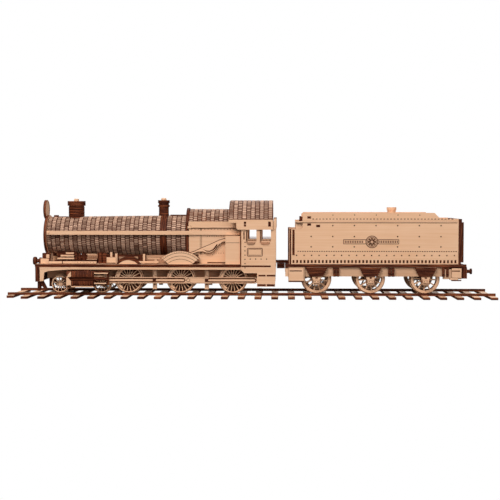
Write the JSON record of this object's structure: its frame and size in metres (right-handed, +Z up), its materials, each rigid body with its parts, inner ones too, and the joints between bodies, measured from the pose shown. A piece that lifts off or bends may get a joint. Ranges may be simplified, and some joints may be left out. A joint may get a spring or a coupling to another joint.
{
  "type": "wooden steam locomotive puzzle",
  "caption": "Laser-cut plywood puzzle of a steam locomotive with spoked wheels, side rods and a coal tender, standing on a two-section wooden track.",
  "frame": {"origin": "middle of the track at the underside of the sleepers", "axes": "+X towards the front of the locomotive, +Y its left side, +Z up"},
  "size_m": [0.6, 0.115, 0.1225],
  "materials": {
    "birch_ply": "smooth laser-cut birch face",
    "burnt_ply": "laser-burnt layered edges",
    "brick_ply": "engraved flexible cladding",
    "rod_ply": "smooth laser-cut birch face"
  },
  "bodies": {
    "track": {"track_front_section": "birch_ply", "track_rear_section": "birch_ply"},
    "locomotive": {"running_plate": "birch_ply", "front_buffer_beam": "burnt_ply", "front_buffer_left": "birch_ply", "front_buffer_right": "birch_ply", "loco_frame": "brick_ply", "smokebox_saddle": "burnt_ply", "boiler_barrel": "brick_ply", "boiler_band": "burnt_ply", "smokebox_front_plate": "burnt_ply", "smokebox_door": "birch_ply", "headboard": "birch_ply", "chimney": "burnt_ply", "safety_valve": "burnt_ply", "firebox_front_plate": "burnt_ply", "firebox": "birch_ply", "firebox_roof": "brick_ply", "cab_front": "birch_ply", "cab_side_left": "birch_ply", "cab_side_right": "birch_ply", "cab_roof": "brick_ply", "cylinder_left": "burnt_ply", "cylinder_right": "burnt_ply", "handrail_left": "birch_ply", "handrail_right": "birch_ply", "center_splasher_left": "birch_ply", "center_splasher_right": "birch_ply", "front_splasher_left": "burnt_ply", "front_splasher_right": "burnt_ply", "side_box_left": "birch_ply", "side_box_right": "birch_ply"},
    "tender": {"drawbar": "burnt_ply", "tender_footplate": "birch_ply", "tender_tank": "birch_ply", "tender_side_left": "birch_ply", "tender_side_right": "birch_ply", "tender_frame_left": "birch_ply", "tender_frame_right": "birch_ply", "tender_rear_plate": "burnt_ply", "tender_rear_beam": "burnt_ply"},
    "bogie": {"bogie_frame": "brick_ply"},
    "driving_wheelset_1": {"driving_wheel_1_left": "birch_ply", "driving_wheel_1_right": "birch_ply", "driving_axle_1": "burnt_ply"},
    "driving_wheelset_2": {"driving_wheel_2_left": "birch_ply", "driving_wheel_2_right": "birch_ply", "driving_axle_2": "burnt_ply"},
    "driving_wheelset_3": {"driving_wheel_3_left": "birch_ply", "driving_wheel_3_right": "birch_ply", "driving_axle_3": "burnt_ply"},
    "side_rods": {"side_rod_left": "rod_ply", "side_rod_right": "rod_ply"},
    "bogie_axle_1": {"bogie_wheelset_1": "birch_ply"},
    "bogie_axle_2": {"bogie_wheelset_2": "birch_ply"},
    "tender_axle_1": {"tender_wheelset_1": "birch_ply"},
    "tender_axle_2": {"tender_wheelset_2": "birch_ply"},
    "tender_axle_3": {"tender_wheelset_3": "birch_ply"},
    "piston_left": {"piston_rod_left": "burnt_ply"},
    "piston_right": {"piston_rod_right": "burnt_ply"}
  },
  "joints": [
    {"name": "train_roll", "type": "slide", "parent": "track", "child": "locomotive", "axis": [1, 0, 0], "range_m": [-0.05, 0.05]},
    {"name": "tender_roll", "type": "slide", "parent": "track", "child": "tender", "axis": [1, 0, 0], "range_m": [-0.05, 0.05]},
    {"name": "driving_axle_1_turn", "type": "hinge", "parent": "locomotive", "child": "driving_wheelset_1", "pos_m": [0.1494, 0, 0.0231], "axis": [0, 1, 0], "range_deg": [-171, 171]},
    {"name": "driving_axle_2_turn", "type": "hinge", "parent": "locomotive", "child": "driving_wheelset_2", "pos_m": [0.0853, 0, 0.0231], "axis": [0, 1, 0], "range_deg": [-171, 171]},
    {"name": "driving_axle_3_turn", "type": "hinge", "parent": "locomotive", "child": "driving_wheelset_3", "pos_m": [0.0212, 0, 0.0231], "axis": [0, 1, 0], "range_deg": [-171, 171]},
    {"name": "side_rods_level", "type": "hinge", "parent": "driving_wheelset_2", "child": "side_rods", "pos_m": [0.07574, 0, 0.02176], "axis": [0, 1, 0], "range_deg": [-171, 171]},
    {"name": "bogie_swivel", "type": "hinge", "parent": "locomotive", "child": "bogie", "pos_m": [0.20865, 0, 0.0255], "axis": [0, 0, 1], "range_deg": [-1.5, 1.5]},
    {"name": "bogie_axle_1_turn", "type": "hinge", "parent": "bogie", "child": "bogie_axle_1", "pos_m": [0.2345, 0, 0.0165], "axis": [0, 1, 0], "range_deg": [-278, 278]},
    {"name": "bogie_axle_2_turn", "type": "hinge", "parent": "bogie", "child": "bogie_axle_2", "pos_m": [0.1828, 0, 0.0165], "axis": [0, 1, 0], "range_deg": [-278, 278]},
    {"name": "tender_axle_1_turn", "type": "hinge", "parent": "tender", "child": "tender_axle_1", "pos_m": [-0.0813, 0, 0.0236], "axis": [0, 1, 0], "range_deg": [-166, 166]},
    {"name": "tender_axle_2_turn", "type": "hinge", "parent": "tender", "child": "tender_axle_2", "pos_m": [-0.147, 0, 0.0236], "axis": [0, 1, 0], "range_deg": [-166, 166]},
    {"name": "tender_axle_3_turn", "type": "hinge", "parent": "tender", "child": "tender_axle_3", "pos_m": [-0.2137, 0, 0.0236], "axis": [0, 1, 0], "range_deg": [-166, 166]},
    {"name": "piston_left_slide", "type": "slide", "parent": "locomotive", "child": "piston_left", "axis": [1, 0, 0], "range_m": [0, 0.0193]},
    {"name": "piston_right_slide", "type": "slide", "parent": "locomotive", "child": "piston_right", "axis": [1, 0, 0], "range_m": [0, 0.0193]}
  ],
  "couplings": [
    {"joint": "tender_roll", "follows": "train_roll", "ratio": 1},
    {"joint": "driving_axle_1_turn", "follows": "train_roll", "rad_per_m": 58.824},
    {"joint": "driving_axle_2_turn", "follows": "train_roll", "rad_per_m": 58.824},
    {"joint": "driving_axle_3_turn", "follows": "train_roll", "rad_per_m": 58.824},
    {"joint": "side_rods_level", "follows": "train_roll", "rad_per_m": -58.824},
    {"joint": "bogie_axle_1_turn", "follows": "train_roll", "rad_per_m": 96.154},
    {"joint": "bogie_axle_2_turn", "follows": "train_roll", "rad_per_m": 96.154},
    {"joint": "tender_axle_1_turn", "follows": "train_roll", "rad_per_m": 57.143},
    {"joint": "tender_axle_2_turn", "follows": "train_roll", "rad_per_m": 57.143},
    {"joint": "tender_axle_3_turn", "follows": "train_roll", "rad_per_m": 57.143},
    {"joint": "piston_right_slide", "follows": "piston_left_slide", "ratio": 1}
  ]
}
